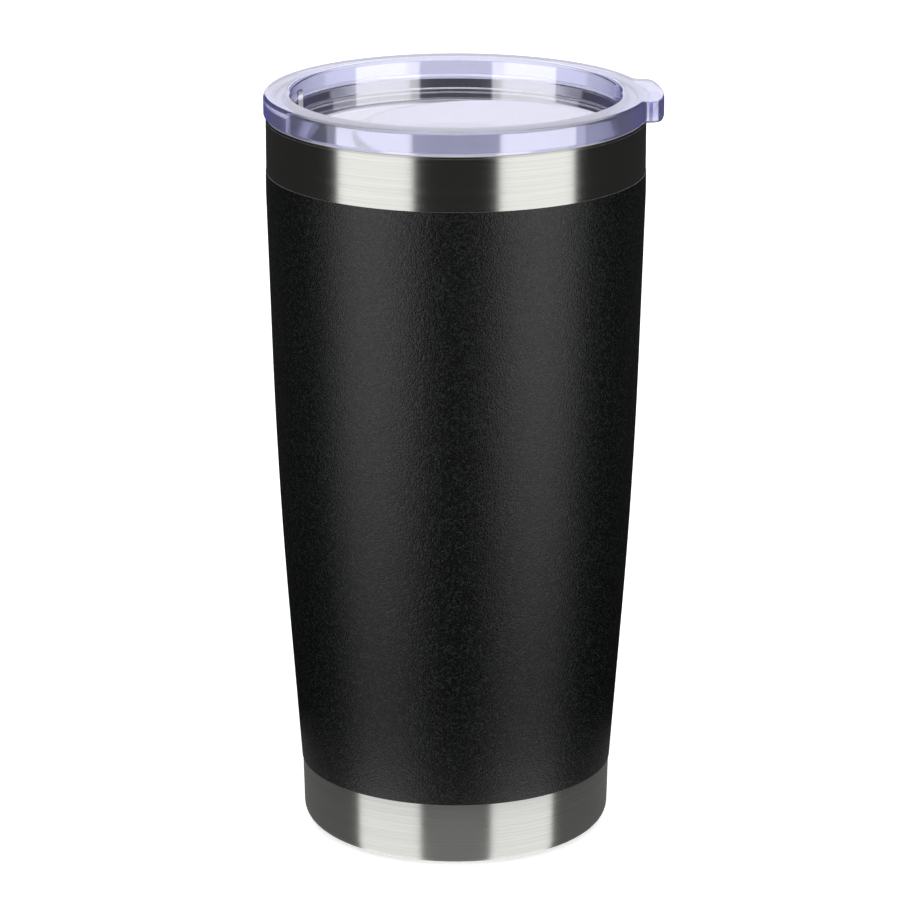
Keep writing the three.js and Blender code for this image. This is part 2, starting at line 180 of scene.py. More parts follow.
class Finishes(bpy.types.PropertyGroup):
    """Colours and grain sizes of the materials."""

    steel: colour("Steel", "Brushed stainless steel", "#C3C3BF")
    inner_steel: colour("Inner Steel", "Electropolished stainless steel", "#AFAFAE")
    coat: colour("Powder Coat", "Black powder coat", "#050606")
    coat_speck: colour("Coat Speck", "Lighter grains in the coat", "#1B1D1F")
    plastic: colour("Lid Plastic", "Clear copolyester", "#F5F5FC")
    plastic_bloom: colour("Plastic Bloom", "Haze on the lid seen at a slant", "#7C76FF")
    plastic_depth: colour("Plastic Depth", "What thick plastic lets through", "#3F45DD")
    plastic_density: FloatProperty(name="Plastic Density", description="Per metre", default=60)
    silicone: colour("Silicone", "Gasket", "#B7B7BC")
    foil: colour("Foil", "Aluminium foil", "#D9DADB")
    getter: colour("Getter", "Pressed metal powder", "#4C4C4E")
    solder_glass: colour("Solder Glass", "Seal bead", "#5E5A4B")
    brush_line: length("Brush Line", "Spacing of the brushing lines", 0.22 * MM)
    brush_length: length("Brush Length", "Length of one brushing line", 40 * MM)
    coat_grain: length("Coat Grain", "Single grains of the powder coat", 0.42 * MM)
    coat_peel: length("Coat Peel", "Waves of the powder coat", 1.6 * MM)


class Studio(bpy.types.PropertyGroup):
    """Camera and light."""

    heading: angle("Heading", "Where the camera stands, clockwise from -Y", 3)
    distance: length("Distance", "Camera to the tumbler's axis, along the floor", 965.5 * MM)
    height: length("Height", "Camera above the floor", 379.4 * MM)
    aside: length("Aside", "Camera to the left of the axis", 1.36 * MM)
    pitch: angle("Pitch", "Camera's downward tilt", 16.704)
    lens: FloatProperty(name="Lens", description="Focal length in mm", default=172.9)
    box_inner: angle("Softbox Inner Edge", "On the tumbler, from its middle", 13)
    box_outer: angle("Softbox Outer Edge", "On the tumbler, from its middle", 38.2)
    box_low: angle("Softbox Bottom", "Elevation", -120)
    box_high: angle("Softbox Top", "Elevation", 25)
    box_light: radiance("Softbox Light", 1.6)
    ceiling_low: angle("Ceiling Edge", "Elevation", 36)
    ceiling_light: radiance("Ceiling Light", 1.2)
    back_low: angle("Backdrop Edge", "On the tumbler, from its middle", 165)
    back_high: angle("Backdrop Top", "Elevation", 40)
    back_light: radiance("Backdrop Light", 1.0)
    back_seen: radiance("Backdrop Seen Plainly", 1.5)
    bounce_radius: length("Bounce Radius", "Floor that lights the base", 74 * MM)
    veil_radius: length("Veil Radius", "Where the softboxes' lower ends are full", 450 * MM)
    veil: share_of("Veil", "Taken from the softboxes' lower ends", 0.8)
    bounce_light: radiance("Bounce Light", 0.12)
    front_light: radiance("Front Bounce", 0.13)
    bounce_open: share_of("Bounce Opening", "Let through close to the foot", 0.8)
    room_light: radiance("Room Light", 0.03)


def cup():
    return bpy.context.scene.tumbler_cup


def lid():
    return bpy.context.scene.tumbler_lid


def finish():
    return bpy.context.scene.tumbler_finish


# ---- outlines and meshes


def rounded(corners, steps=8):
    """Points of a closed outline of (radius, height, fillet) corners, each turned into an arc."""
    points = []
    for i, (r, z, fillet) in enumerate(corners):
        here = Vector((r, z))
        if fillet <= 0:
            points.append(here)
            continue
        before = (Vector(corners[i - 1][:2]) - here).normalized()
        after = (Vector(corners[(i + 1) % len(corners)][:2]) - here).normalized()
        half = before.angle(after) / 2
        middle = here + (before + after).normalized() * (fillet / math.sin(half))
        start = here + before * (fillet / math.tan(half)) - middle
        end = here + after * (fillet / math.tan(half)) - middle
        turn = start.angle_signed(end)
        for step in range(steps + 1):
            points.append(middle + Matrix.Rotation(-turn * step / steps, 2) @ start)
    return [tuple(p) for p in points]


def turned(outline, centre=0.0):
    """A bmesh of a closed outline of (radius, height) points turned about a vertical axis."""
    mesh = bmesh.new()
    rings = []
    for r, z in outline:
        if abs(r) < ON_AXIS:
            rings.append([mesh.verts.new((centre, 0, z))] * FINE)
            continue
        turns = [2 * math.pi * i / FINE for i in range(FINE)]
        rings.append([mesh.verts.new((centre + r * math.cos(t), r * math.sin(t), z))
                      for t in turns])
    skin(mesh, rings, closed=True)
    return mesh


def skin(mesh, rings, closed=False):
    """Faces between neighbouring rings of vertices; closed joins the last ring to the first."""
    count = len(rings[0])
    for k in range(len(rings) if closed else len(rings) - 1):
        low, high = rings[k], rings[(k + 1) % len(rings)]
        for i in range(count):
            j = (i + 1) % count
            corner = [low[i], low[j], high[j], high[i]]
            face = [v for n, v in enumerate(corner) if v not in corner[:n]]
            if len(face) > 2:
                mesh.faces.new(face)


def stacked(layers):
    """A closed bmesh from a stack of equal outlines, each (height, [(x, y), ...])."""
    mesh = bmesh.new()
    rings = [[mesh.verts.new((x, y, z)) for x, y in outline] for z, outline in layers]
    skin(mesh, rings)
    mesh.faces.new(rings[0])
    mesh.faces.new(rings[-1])
    return mesh


def to_object(mesh, name):
    """An object from a bmesh, with its faces pointing out."""
    bmesh.ops.recalc_face_normals(mesh, faces=mesh.faces)
    if mesh.calc_volume(signed=True) < 0:
        bmesh.ops.reverse_faces(mesh, faces=mesh.faces)
    data = bpy.data.meshes.new(name)
    mesh.to_mesh(data)
    mesh.free()
    made = bpy.data.objects.new(name, data)
    bpy.context.scene.collection.objects.link(made)
    return made


def eased(share):
    """A share of a way, with a slow start and a slow end."""
    return share * share * (3 - 2 * share)


def settle(piece, body, node, slot, material):
    """Finishes a new piece: shading, material, body, and the node that it stands for; slot is not
    used.
    """
    piece.data.shade_smooth()
    piece.data.set_sharp_from_angle(angle=SHARP)
    piece.data.materials.clear()
    piece.data.materials.append(material)
    # Pieces reflect the studio and not each other, which keeps the clear lid crisp.
    piece.visible_glossy = False
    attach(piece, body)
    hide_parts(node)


def turn_piece(corners, name, *where, steps=8):
    """Turns an outline into a finished piece; where is what settle takes after the piece."""
    settle(to_object(turned(rounded(corners, steps)), name), *where)


def combine(piece, others, operation):
    """Joins or cuts piece with other objects, which are used up."""
    for other in others:
        change = piece.modifiers.new(operation.lower(), "BOOLEAN")
        change.operation = operation
        change.solver = "EXACT"
        change.object = other
    graph = bpy.context.evaluated_depsgraph_get()
    merged = bpy.data.meshes.new_from_object(piece.evaluated_get(graph))
    piece.modifiers.clear()
    piece.data = merged
    for other in others:
        bpy.data.objects.remove(other)


# ---- material nodes


def add(tree, kind, inputs=None, **settings):
    """Adds a node; an input is a value, a node to link from, or one of its output sockets."""
    node = tree.nodes.new(kind)
    for name, value in settings.items():
        setattr(node, name, value)
    for name, value in (inputs or {}).items():
        if isinstance(value, bpy.types.Node):
            value = next(socket for socket in value.outputs if socket.enabled)
        if isinstance(value, bpy.types.NodeSocket):
            tree.links.new(value, node.inputs[name])
        else:
            node.inputs[name].default_value = value
    return node


def new_material(name):
    """A material with an empty tree, and its piece's own coordinates to lay patterns on."""
    material = bpy.data.materials.new(name)
    material.use_nodes = True
    tree = material.node_tree
    tree.nodes.clear()
    return material, tree, add(tree, "ShaderNodeTexCoord").outputs["Object"]


def rgba(value, share=1.0):
    """A colour with its alpha, darkened to a share of itself."""
    return (*(part * share for part in value[:3]), 1.0)


def surfaced(material, shade, gloss, relief, shader):
    """The material, given a surface whose shade, roughness and relief each follow a pattern.

    shade is (pattern, colour, darkest share, lightest share), gloss is (pattern, least
    roughness, most roughness), relief is (pattern, height), and shader has the other inputs.
    """
    tree = material.node_tree
    tint = add(tree, "ShaderNodeMix", {
        "Factor": shade[0], "A": rgba(shade[1], shade[2]), "B": rgba(shade[1], shade[3])},
        data_type="RGBA")
    roughness = add(tree, "ShaderNodeMapRange", {
        "Value": gloss[0], "From Min": NOISE_LOW, "From Max": NOISE_HIGH,
        "To Min": gloss[1], "To Max": gloss[2]})
    bumps = add(tree, "ShaderNodeBump", {"Height": relief[0], "Distance": relief[1]})
    whole = add(tree, "ShaderNodeBsdfPrincipled", {
        "Base Color": tint, "Roughness": roughness, "Normal": bumps, **shader})
    add(tree, "ShaderNodeOutputMaterial", {"Surface": whole})
    return material


def grained_round(tree, strength):
    """Shader inputs of metal grained round the axis, which draws its highlights upright."""
    round_axis = add(tree, "ShaderNodeTangent", direction_type="RADIAL", axis="Z")
    return {"Tangent": round_axis, "Metallic": 1.0, "Anisotropic": strength,
            "Anisotropic Rotation": 0.25}


def brushed_stainless_steel():
    """Brushed 304 stainless steel."""
    # Belt-brushed round the body: fine level lines, and highlights drawn out upright.
    # The real scratches are 0.05 mm apart, too fine to show, so they are drawn coarser.
    look = finish()
    material, tree, place = new_material("brushed_stainless_steel")
    along, across = 1 / look.brush_length, 1 / look.brush_line
    drawn = add(tree, "ShaderNodeMapping", {"Vector": place, "Scale": (along, along, across)})
    lines = add(tree, "ShaderNodeTexNoise", {
        "Vector": drawn, "Scale": 1.0, "Detail": 1.0, "Roughness": 0.5})
    scratched = add(tree, "ShaderNodeMapRange", {
        "Value": lines, "From Min": NOISE_LOW, "From Max": NOISE_HIGH})
    passes = add(tree, "ShaderNodeTexNoise", {"Vector": drawn, "Scale": 0.15, "Detail": 2.0})
    return surfaced(material, (scratched, look.steel, 0.89, 1.0), (passes, 0.19, 0.24),
                    (lines, 0.0015 * MM), grained_round(tree, 0.75))


def electropolished_stainless_steel():
    """Electropolished 304 stainless steel."""
    # Deep-drawn, then smoothed in acid: bright and soft, with faint lines 0.9 mm apart that
    # run 50 mm round the wall, and clouds 16 mm across in the gloss.
    material, tree, place = new_material("electropolished_stainless_steel")
    along, across = 1 / (50 * MM), 1 / (0.9 * MM)
    drawn = add(tree, "ShaderNodeMapping", {"Vector": place, "Scale": (along, along, across)})
    lines = add(tree, "ShaderNodeTexNoise", {"Vector": drawn, "Scale": 1.0, "Detail": 3.0})
    cloud = add(tree, "ShaderNodeTexNoise", {
        "Vector": place, "Scale": 1 / (16 * MM), "Detail": 2.0})
    return surfaced(material, (lines, finish().inner_steel, 0.94, 1.0), (cloud, 0.18, 0.26),
                    (lines, 0.003 * MM), grained_round(tree, 0.4))


def spun_stainless_steel():
    """Lathe-finished 304 stainless steel disc."""
    # Finished while it spins: fine rings round the centre, and a fan of light across them.
    look = finish()
    material, tree, place = new_material("spun_stainless_steel")
    flat = add(tree, "ShaderNodeVectorMath", {0: place, 1: LEVEL}, operation="MULTIPLY")
    away = add(tree, "ShaderNodeVectorMath", {0: flat}, operation="LENGTH")
    rings = add(tree, "ShaderNodeTexNoise", {
        "W": away, "Scale": 1 / look.brush_line, "Detail": 4.0}, noise_dimensions="1D")
    return surfaced(material, (rings, look.steel, 0.85, 1.0), (rings, 0.24, 0.34),
                    (rings, 0.006 * MM), grained_round(tree, 0.6))


def stamped_stainless_steel():
    """Stamped and pickled 304 stainless steel."""
    # Pressed and dipped in acid, never polished: dull grey with a mottle 1.1 mm across.
    material, tree, place = new_material("stamped_stainless_steel")
    mottle = add(tree, "ShaderNodeTexNoise", {
        "Vector": place, "Scale": 1 / (1.1 * MM), "Detail": 4.0})
    return surfaced(material, (mottle, finish().steel, 0.55, 0.8), (mottle, 0.4, 0.55),
                    (mottle, 0.01 * MM), {"Metallic": 1.0})


def black_powder_coat():
    """Polyester powder coat."""
    # Sprayed dry and baked on: near black, with a soft low gloss over close rounded grains
    # that catch the light one by one. Real grains are 0.1 mm, drawn coarser so they show.
    look = finish()
    material, tree, place = new_material("black_powder_coat")
    grains = add(tree, "ShaderNodeTexVoronoi", {"Vector": place, "Scale": 1 / look.coat_grain})
    peel = add(tree, "ShaderNodeTexNoise", {
        "Vector": place, "Scale": 1 / look.coat_peel, "Detail": 2.0})
    picked = add(tree, "ShaderNodeSeparateColor", {"Color": grains.outputs["Color"]})
    light_grain = add(tree, "ShaderNodeMapRange", {
        "Value": picked.outputs["Red"], "From Min": 0.6, "From Max": 1.0})
    shade = add(tree, "ShaderNodeMix", {
        "Factor": light_grain, "A": rgba(look.coat), "B": rgba(look.coat_speck)},
        data_type="RGBA")
    gloss = add(tree, "ShaderNodeMapRange", {
        "Value": picked.outputs["Green"], "To Min": 0.3, "To Max": 0.42})
    waves = add(tree, "ShaderNodeBump", {"Height": peel, "Distance": 0.01 * MM})
    domes = add(tree, "ShaderNodeBump", {
        "Height": grains.outputs["Distance"], "Distance": 0.05 * MM, "Normal": waves},
        invert=True)
    paint = add(tree, "ShaderNodeBsdfPrincipled", {
        "Base Color": shade, "Roughness": gloss, "Normal": domes, "IOR": 1.5})
    add(tree, "ShaderNodeOutputMaterial", {"Surface": paint})
    return material


def clear_copolyester():
    """Injection-moulded clear copolyester."""
    # Polished by its mould: glassy skin with crisp reflections, slow flow waves 15 mm long,
    # a little haze inside, and a lavender cast where light travels far through it. The
    # coat's IOR is above the plastic's, as each thin wall reflects from both its faces.
    look = finish()
    material, tree, place = new_material("clear_copolyester")
    flow = add(tree, "ShaderNodeTexNoise", {
        "Vector": place, "Scale": 1 / (15 * MM), "Detail": 2.0})
    haze = add(tree, "ShaderNodeTexNoise", {
        "Vector": place, "Scale": 1 / (2.5 * MM), "Detail": 3.0})
    gloss = add(tree, "ShaderNodeMapRange", {
        "Value": haze, "From Min": NOISE_LOW, "From Max": NOISE_HIGH,
        "To Min": 0.06, "To Max": 0.09})
    waves = add(tree, "ShaderNodeBump", {"Height": flow, "Distance": 0.05 * MM})
    plastic = add(tree, "ShaderNodeBsdfPrincipled", {
        "Base Color": rgba(look.plastic), "Roughness": gloss, "Normal": waves,
        "IOR": 1.54, "Transmission Weight": 0.9,
        "Coat Weight": 1.0, "Coat Roughness": 0.02, "Coat IOR": 2.3,
        "Sheen Weight": 0.4, "Sheen Roughness": 0.5, "Sheen Tint": rgba(look.plastic_bloom)})
    depth = add(tree, "ShaderNodeVolumeAbsorption", {
        "Color": rgba(look.plastic_depth), "Density": look.plastic_density})
    add(tree, "ShaderNodeOutputMaterial", {"Surface": plastic, "Volume": depth})
    return material


def moulded_silicone():
    """Compression-moulded clear silicone rubber."""
    # Smoky clear and satin, with a dusty grain 0.4 mm across.
    material, tree, place = new_material("moulded_silicone")
    dust = add(tree, "ShaderNodeTexNoise", {
        "Vector": place, "Scale": 1 / (0.4 * MM), "Detail": 2.0})
    return surfaced(material, (dust, finish().silicone, 0.92, 1.0), (dust, 0.12, 0.22),
                    (dust, 0.01 * MM), {"IOR": 1.41, "Transmission Weight": 0.85})


def aluminium_foil():
    """Rolled aluminium foil."""
    # Wrapped by hand: bright, with soft creases 9 mm apart that each turn the light.
    material, tree, place = new_material("aluminium_foil")
    creases = add(tree, "ShaderNodeTexNoise", {
        "Vector": place, "Scale": 1 / (9 * MM), "Detail": 5.0, "Roughness": 0.6})
    return surfaced(material, (creases, finish().foil, 0.9, 1.0), (creases, 0.12, 0.3),
                    (creases, 0.4 * MM), {"Metallic": 1.0})


def pressed_getter_powder():
    """Pressed zirconium alloy powder."""
    # A pellet of metal powder: dark grey, coarse and dull, with grains 0.3 mm across.
    material, tree, place = new_material("pressed_getter_powder")
    grains = add(tree, "ShaderNodeTexNoise", {
        "Vector": place, "Scale": 1 / (0.3 * MM), "Detail": 3.0})
    return surfaced(material, (grains, finish().getter, 0.6, 1.0), (grains, 0.7, 0.9),
                    (grains, 0.05 * MM), {"Metallic": 0.6})


def solder_glass():
    """Lead-free solder glass."""
    # Melted over the vent and set: brown-grey, glossy, with bubbles 0.6 mm across.
    material, tree, place = new_material("solder_glass")
    bubbles = add(tree, "ShaderNodeTexNoise", {
        "Vector": place, "Scale": 1 / (0.6 * MM), "Detail": 1.0})
    return surfaced(material, (bubbles, finish().solder_glass, 0.7, 1.0), (bubbles, 0.08, 0.2),
                    (bubbles, 0.03 * MM), {"IOR": 1.7})


def matt_card():
    """Matt white card."""
    # Uncoated paper board, pulped and pressed: even and pale, with fibre clumps 5 mm long.
    material, tree, place = new_material("matt_card")
    fibre = add(tree, "ShaderNodeTexNoise", {
        "Vector": place, "Scale": 1 / (5 * MM), "Detail": 3.0})
    shade = add(tree, "ShaderNodeMix", {
        "Factor": fibre, "A": rgba(linear("#F4F4F4")), "B": rgba(linear("#FBFBFB"))},
        data_type="RGBA")
    card = add(tree, "ShaderNodeBsdfPrincipled", {
        "Base Color": shade, "Roughness": 0.9, "Specular IOR Level": 0.1,
        "Emission Color": WHITE, "Emission Strength": 0.55})
    add(tree, "ShaderNodeOutputMaterial", {"Surface": card})
    return material


# ---- outline of the cup


def coat_radius(z):
    """Outside of the powder coat at a height."""
    sizes = cup()
    shoulder = sizes.cup_height - sizes.shoulder_drop
    if z >= shoulder:
        return sizes.coat_radius
    slope = math.tan(sizes.upper_taper)
    upper = sizes.coat_radius - slope * (shoulder - z)
    bend = sizes.coat_radius - slope * (shoulder - sizes.bend_height)
    lower = (bend - sizes.base_radius) / (sizes.bend_height - sizes.coat_bottom)
    reach = sizes.bend_blend
    if z >= sizes.bend_height + reach:
        return upper
    if z <= sizes.bend_height - reach:
        return upper - (lower - slope) * (sizes.bend_height - z)
    return upper - (lower - slope) * (sizes.bend_height + reach - z) ** 2 / (4 * reach)


def shell_radius(z):
    """Outside of the steel shell under the powder coat."""
    return coat_radius(z) - cup().coat_thickness - cup().bond_gap


def liner_radius(z):
    """Outside of the liner below the mouth."""
    return shell_radius(z) - cup().shell_wall - cup().vacuum_gap


def foot_radius():
    """Outside of the base band just above the bottom corner."""
    sizes = cup()
    drop = sizes.coat_bottom - sizes.base_corner
    return shell_radius(sizes.coat_bottom) - math.tan(sizes.base_draft) * drop


def wall_heights(bottom, top):
    """Even heights up the wall, with the shoulder among them."""
    count = 40
    shoulder = cup().cup_height - cup().shoulder_drop
    even = [bottom + (top - bottom) * i / count for i in range(count + 1)]
    return sorted(even + ([shoulder] if bottom < shoulder < top else []))


def mouth_radius():
    return cup().neck_radius - cup().lip_width


# ---- the cup's pieces


class TUMBLER_OT_outer_shell(bpy.types.Operator):
    """Turns the outer steel shell with its bare bands, bottom corner and standing ring"""

    bl_idname = "tumbler.outer_shell"
    bl_label = "Outer Shell"

    def execute(self, context):
        sizes = cup()
        wall = sizes.shell_wall
        foot = foot_radius()
        ring_inner = foot - sizes.base_corner - sizes.ring_width
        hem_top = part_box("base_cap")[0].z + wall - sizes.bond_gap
        lip_gap = 0.02 * wall
        top = sizes.cup_height - wall - lip_gap
        step = sizes.coat_top + sizes.bond_gap
        heights = wall_heights(sizes.coat_bottom, sizes.coat_top)
        outside = [(shell_radius(z), z, 0) for z in heights]
        inside = [(r - wall, z, 0) for r, z, _ in reversed(outside)]
        corners = [
            (ring_inner, 0, wall / 3),
            (foot + math.tan(sizes.base_draft) * -sizes.base_corner, 0, sizes.base_corner),
            *outside,
            (shell_radius(sizes.coat_top), step, 0),
            (sizes.neck_radius, step, 0),
            (sizes.neck_radius, top, 0),
            (sizes.neck_radius - wall, top, 0),
            *inside,
            (foot - wall, wall, sizes.base_corner - wall),
            (ring_inner + wall, wall, 0),
            (ring_inner + wall, hem_top, wall / 6),
            (ring_inner, hem_top, wall / 6),
        ]
        turn_piece(corners, "steel_shell", "cup", "outer_shell", "outer_steel",
                   brushed_stainless_steel())
        return {"FINISHED"}


class TUMBLER_OT_powder_coat(bpy.types.Operator):
    """Turns the powder coat, with the soft edges that baked powder has at its masks"""

    bl_idname = "tumbler.powder_coat"
    bl_label = "Powder Coat"

    def execute(self, context):
        sizes = cup()
        heights = wall_heights(sizes.coat_bottom, sizes.coat_top)
        soft = 0.6 * sizes.coat_thickness
        outside = [(coat_radius(z), z, 0) for z in heights]
        outside[0] = (*outside[0][:2], soft)
        outside[-1] = (*outside[-1][:2], soft)
        inside = [(r - sizes.coat_thickness, z, 0) for r, z, _ in reversed(outside)]
        turn_piece(outside + inside, "coat_sleeve", "cup", "powder_coat", "powder_coat",
                   black_powder_coat())
        return {"FINISHED"}


class TUMBLER_OT_liner(bpy.types.Operator):
    """Turns the liner with its rolled lip, and the bottom that is welded to it"""

    bl_idname = "tumbler.liner"
    bl_label = "Liner"

    def execute(self, context):
        sizes = cup()
        wall = sizes.liner_wall
        steel = electropolished_stainless_steel()
        foot = sizes.cup_height - sizes.mouth_depth - sizes.mouth_blend
        inside = [(liner_radius(z) - wall, z) for z in wall_heights(sizes.seam_height, foot)]
        start, steps = inside[-1][0], 20
        for i in range(1, steps + 1):
            share = i / steps
            inside.append((start + (mouth_radius() - start) * eased(share),
                           foot + sizes.mouth_blend * share))
        under = sizes.cup_height - sizes.shell_wall
        corners = [
            *[(r + wall, z, 0) for r, z in inside],
            (mouth_radius() + wall, under, 0),
            (sizes.neck_radius, under, 0),
            (sizes.neck_radius, sizes.cup_height, wall / 2),
            (mouth_radius(), sizes.cup_height, wall / 2),
            *[(r, z, 0) for r, z in reversed(inside)],
        ]
        turn_piece(corners, "liner_wall", "cup", "inner_liner", "inner_steel", steel)

        seam = sizes.seam_height - sizes.bond_gap
        outer = liner_radius(sizes.seam_height)
        under = sizes.floor_under
        corners = [
            (0, under, 0),
            (outer, under, sizes.inner_corner),
            (outer, seam, 0),
            (outer - wall, seam, 0),
            (outer - wall, under + wall, sizes.inner_corner - wall),
            (0, under + wall, 0),
        ]
        turn_piece(corners, "liner_bottom", "cup", "inner_bottom", "inner_steel", steel,
                   steps=16)
        return {"FINISHED"}


class TUMBLER_OT_base_cover(bpy.types.Operator):
    """Turns the recessed base cover with its rolled edge and shallow pressed ring"""

    bl_idname = "tumbler.base_cover"
    bl_label = "Base Cover"

    def execute(self, context):
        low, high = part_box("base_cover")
        edge, ring, ring_top = 0.3 * MM, 0.62 * high.x, low.z + 0.2 * MM
        foot, crest = 1.2 * MM, 0.7 * MM  # half of the ring's width
        foot_bend, crest_bend = 0.4 * MM, 0.2 * MM
        corners = [
            (0, low.z, 0),
            (ring - foot, low.z, foot_bend),
            (ring - crest, ring_top, crest_bend),
            (ring + crest, ring_top, crest_bend),
            (ring + foot, low.z, foot_bend),
            (high.x, low.z, edge),
            (high.x, high.z, 0),
            (0, high.z, 0),
        ]
        turn_piece(corners, "cover_disc", "cup", "base_cover", "outer_steel",
                   spun_stainless_steel())
        return {"FINISHED"}


class TUMBLER_OT_hidden_parts(bpy.types.Operator):
    """Finishes the parts that are shut inside the vacuum and the base"""

    bl_idname = "tumbler.hidden_parts"
    bl_label = "Hidden Parts"

    def execute(self, context):
        stamped = stamped_stainless_steel()
        finishes = {
            "radiation_foil": aluminium_foil(),
            "getter_holder": stamped,
            "getter_pellet": pressed_getter_powder(),
            "base_cap": stamped,
            "seal_bead": solder_glass(),
        }
        for node, material in finishes.items():
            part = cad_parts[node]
            part.data.materials.clear()
            part.data.materials.append(material)
            part.visible_glossy = False
        return {"FINISHED"}


# ---- the lid


def well_radius():
    """Inner edge of the rim."""
    sizes = lid()
    return mouth_radius() - sizes.skirt_clearance - sizes.groove_depth - sizes.well_wall


def sump_height():
    return lid().rim_top - lid().well_depth


def lid_bowl():
    """Rim, well, skirt and floor, without the tab and the openings."""
    sizes = lid()
    seat = cup().cup_height + sizes.seat_gap
    skirt = mouth_radius() - sizes.skirt_clearance
    groove = skirt - sizes.groove_depth
    groove_top = cup().cup_height - sizes.groove_drop
    groove_bottom = groove_top - sizes.groove_height
    well = well_radius()
    drafted = sizes.well_depth - sizes.well_fillet - sizes.sump_fillet
    well_low = well - math.tan(sizes.well_draft) * drafted
    under = sump_height() - sizes.lid_floor
    bottom = sizes.skirt_bottom
    small = sizes.edge_break / 2
    corners = [
        (0, under, 0),
        (well_low - sizes.skirt_wall, under, small),
        (well_low - sizes.skirt_wall, bottom, small),
        (skirt - sizes.skirt_chamfer, bottom, small),
        (skirt, bottom + sizes.skirt_chamfer, sizes.edge_break),
        (skirt, groove_bottom, small),
        (groove, groove_bottom, small),
        (groove, groove_top, small),
        (skirt, groove_top, small),
        (skirt, seat, small),
        (sizes.rim_radius - sizes.rim_bevel, seat, small),
        (sizes.rim_radius, seat + sizes.rim_bevel, sizes.edge_break),
        (sizes.rim_radius, sizes.rim_top, sizes.rim_fillet),
        (well, sizes.rim_top, sizes.well_fillet),
        (well_low, sump_height(), sizes.sump_fillet),
        (0, sump_height(), 0),
    ]
    return to_object(turned(rounded(corners, steps=10)), "lid_bowl")


def platform():
    """The raised, dished floor that stands towards the tab, kept inside the well's wall."""
    sizes = lid()
    radius = well_radius() - sizes.platform_inset
    top = sump_height() + sizes.platform_rise
    bottom = sump_height() - sizes.lid_floor / 2
    flat, steps = radius - sizes.platform_fillet, 12
    dish = [(flat * i / steps, top - sizes.platform_dish * (1 - (i / steps) ** 2))
            for i in range(steps)]
    edge = rounded([(0, bottom, 0), (radius, bottom, 0), (radius, top, sizes.platform_fillet),
                    (flat / 2, top, 0)], steps=10)[:-1]
    disc = to_object(turned(edge + dish[::-1], centre=sizes.sump_width - sizes.platform_inset),
                     "platform")
    reach, low, high = well_radius() + SPARE, bottom - SPARE, top + SPARE
    limit = to_object(turned([(0, low), (reach, low), (reach, high), (0, high)]), "limit")
    combine(disc, [limit], "INTERSECT")
    return disc


def arc(x, y, radius, start, end, steps=8):
    """Points on a level arc about (x, y), from one angle to another in radians."""
    turns = [start + (end - start) * i / steps for i in range(steps + 1)]
    return [(x + radius * math.cos(t), y + radius * math.sin(t)) for t in turns]


def tab_outline(inset):
    """The pull tab from above: its tip follows the rim, and hollow blends join it to the rim."""
    sizes = lid()
    rim, tip = sizes.rim_radius, sizes.tab_tip - inset
    half = sizes.tab_width / 2 - inset
    blend, corner = sizes.tab_blend + inset, sizes.tab_corner - inset
    middle = half + blend
    edge = math.sqrt((rim - inset + blend) ** 2 - middle ** 2)
    root = math.sqrt(rim ** 2 - (sizes.tab_width / 2 + sizes.tab_blend) ** 2) - SPARE
    turn = math.atan2(middle, edge)
    corner_x = math.sqrt((tip - corner) ** 2 - (half - corner) ** 2)
    end = math.atan2(half - corner, corner_x)
    side = [(root, half + blend / 2),
            *arc(edge, middle, blend, turn - math.pi, -math.pi / 2),
            *arc(corner_x, half - corner, corner, math.pi / 2, end),
            *arc(0, 0, tip, end, 0, steps=12)[1:-1]]
    return side + [(tip, 0)] + [(x, -y) for x, y in reversed(side)]


def pull_tab():
    """The tab as a stack of outlines, with rounded top and bottom edges."""
    sizes = lid()
    low = cup().cup_height + sizes.seat_gap + sizes.tab_drop
    high = sizes.rim_top - sizes.tab_drop
    edge = [(sizes.tab_edge * (1 - math.sin(t)), tab_outline(sizes.tab_edge * (1 - math.cos(t))))
            for t in QUARTER]
    layers = [(low + step, outline) for step, outline in reversed(edge)]
    layers += [(high - step, outline) for step, outline in edge]
    return to_object(stacked(layers), "tab")


def eased_layers(outline, low, high, flare):
    """Layers of a cutter that flares out where it leaves the material at low and at high."""
    edge = [(flare * (1 - math.cos(t)), outline(flare * (1 - math.sin(t)))) for t in QUARTER]
    lower = [(low + step, shape) for step, shape in edge]
    upper = [(high - step, shape) for step, shape in reversed(edge)]
    return [(low - SPARE, outline(flare)), *lower, *upper, (high + SPARE, outline(flare))]


def sip_outline(grow):
    """The sip opening from above: a slot that follows the well's wall, with round ends."""
    sizes = lid()
    half = sizes.sip_width / 2
    middle = well_radius() - sizes.sip_edge - half
    reach = sizes.sip_half_angle
    points = arc(0, 0, middle + half + grow, math.pi - reach, math.pi + reach, steps=24)
    for end, side in ((math.pi + reach, 1), (math.pi - reach, -1)):
        x, y = middle * math.cos(end), middle * math.sin(end)
        turn = end if side > 0 else end - math.pi
        points += arc(x, y, half + grow, turn, turn + math.pi, steps=16)[1:-1]
        if side > 0:
            points += arc(0, 0, middle - half - grow, end, 2 * math.pi - end, steps=24)
    return points


